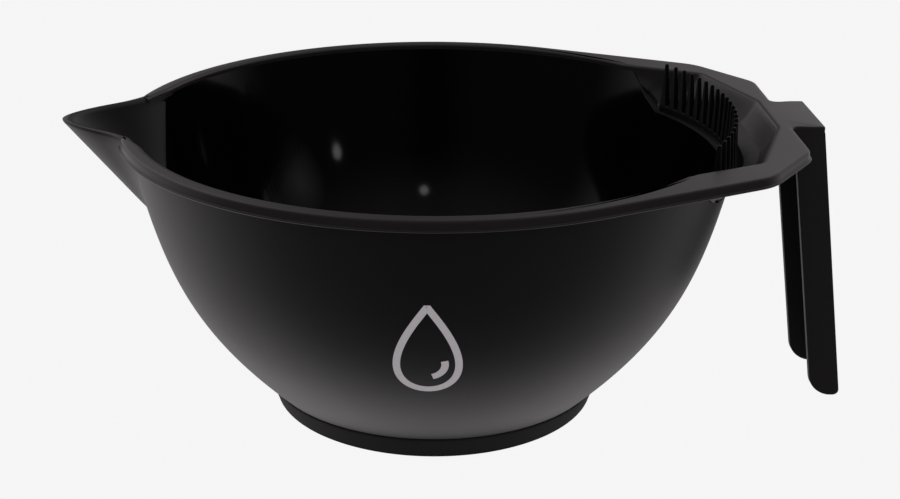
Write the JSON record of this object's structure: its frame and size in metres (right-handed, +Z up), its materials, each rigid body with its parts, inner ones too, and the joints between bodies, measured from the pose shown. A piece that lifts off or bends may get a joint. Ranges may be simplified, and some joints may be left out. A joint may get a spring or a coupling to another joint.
{
  "type": "hair color bowl",
  "caption": "Black plastic tint bowl with a pouring spout, a comb edge, a brush rest and a channel handle, on a soft non-slip foot ring.",
  "frame": {"origin": "centre of the part's plan at the table, under the foot ring; the bowl's own axis is 6.45 mm towards -X", "axes": "+X from the spout to the handle, +Z up; the part mirrors about the XZ plane"},
  "size_m": [0.1898, 0.15, 0.0742],
  "materials": {
    "black_plastic": "satin outside, glossier inside",
    "foot_rubber": "matte"
  },
  "bodies": {
    "root": {"bowl_wall": "black_plastic", "bowl_floor": "black_plastic", "base_ring": "black_plastic", "foot_grip_ring": "foot_rubber", "pouring_spout": "black_plastic", "rim_flange_front": "black_plastic", "rim_flange_rear": "black_plastic", "handle_wing": "black_plastic", "brush_rest": "black_plastic", "brush_comb": "black_plastic", "handle_bridge": "black_plastic", "handle_web": "black_plastic", "handle_cheek_front": "black_plastic", "handle_cheek_rear": "black_plastic"}
  },
  "joints": []
}
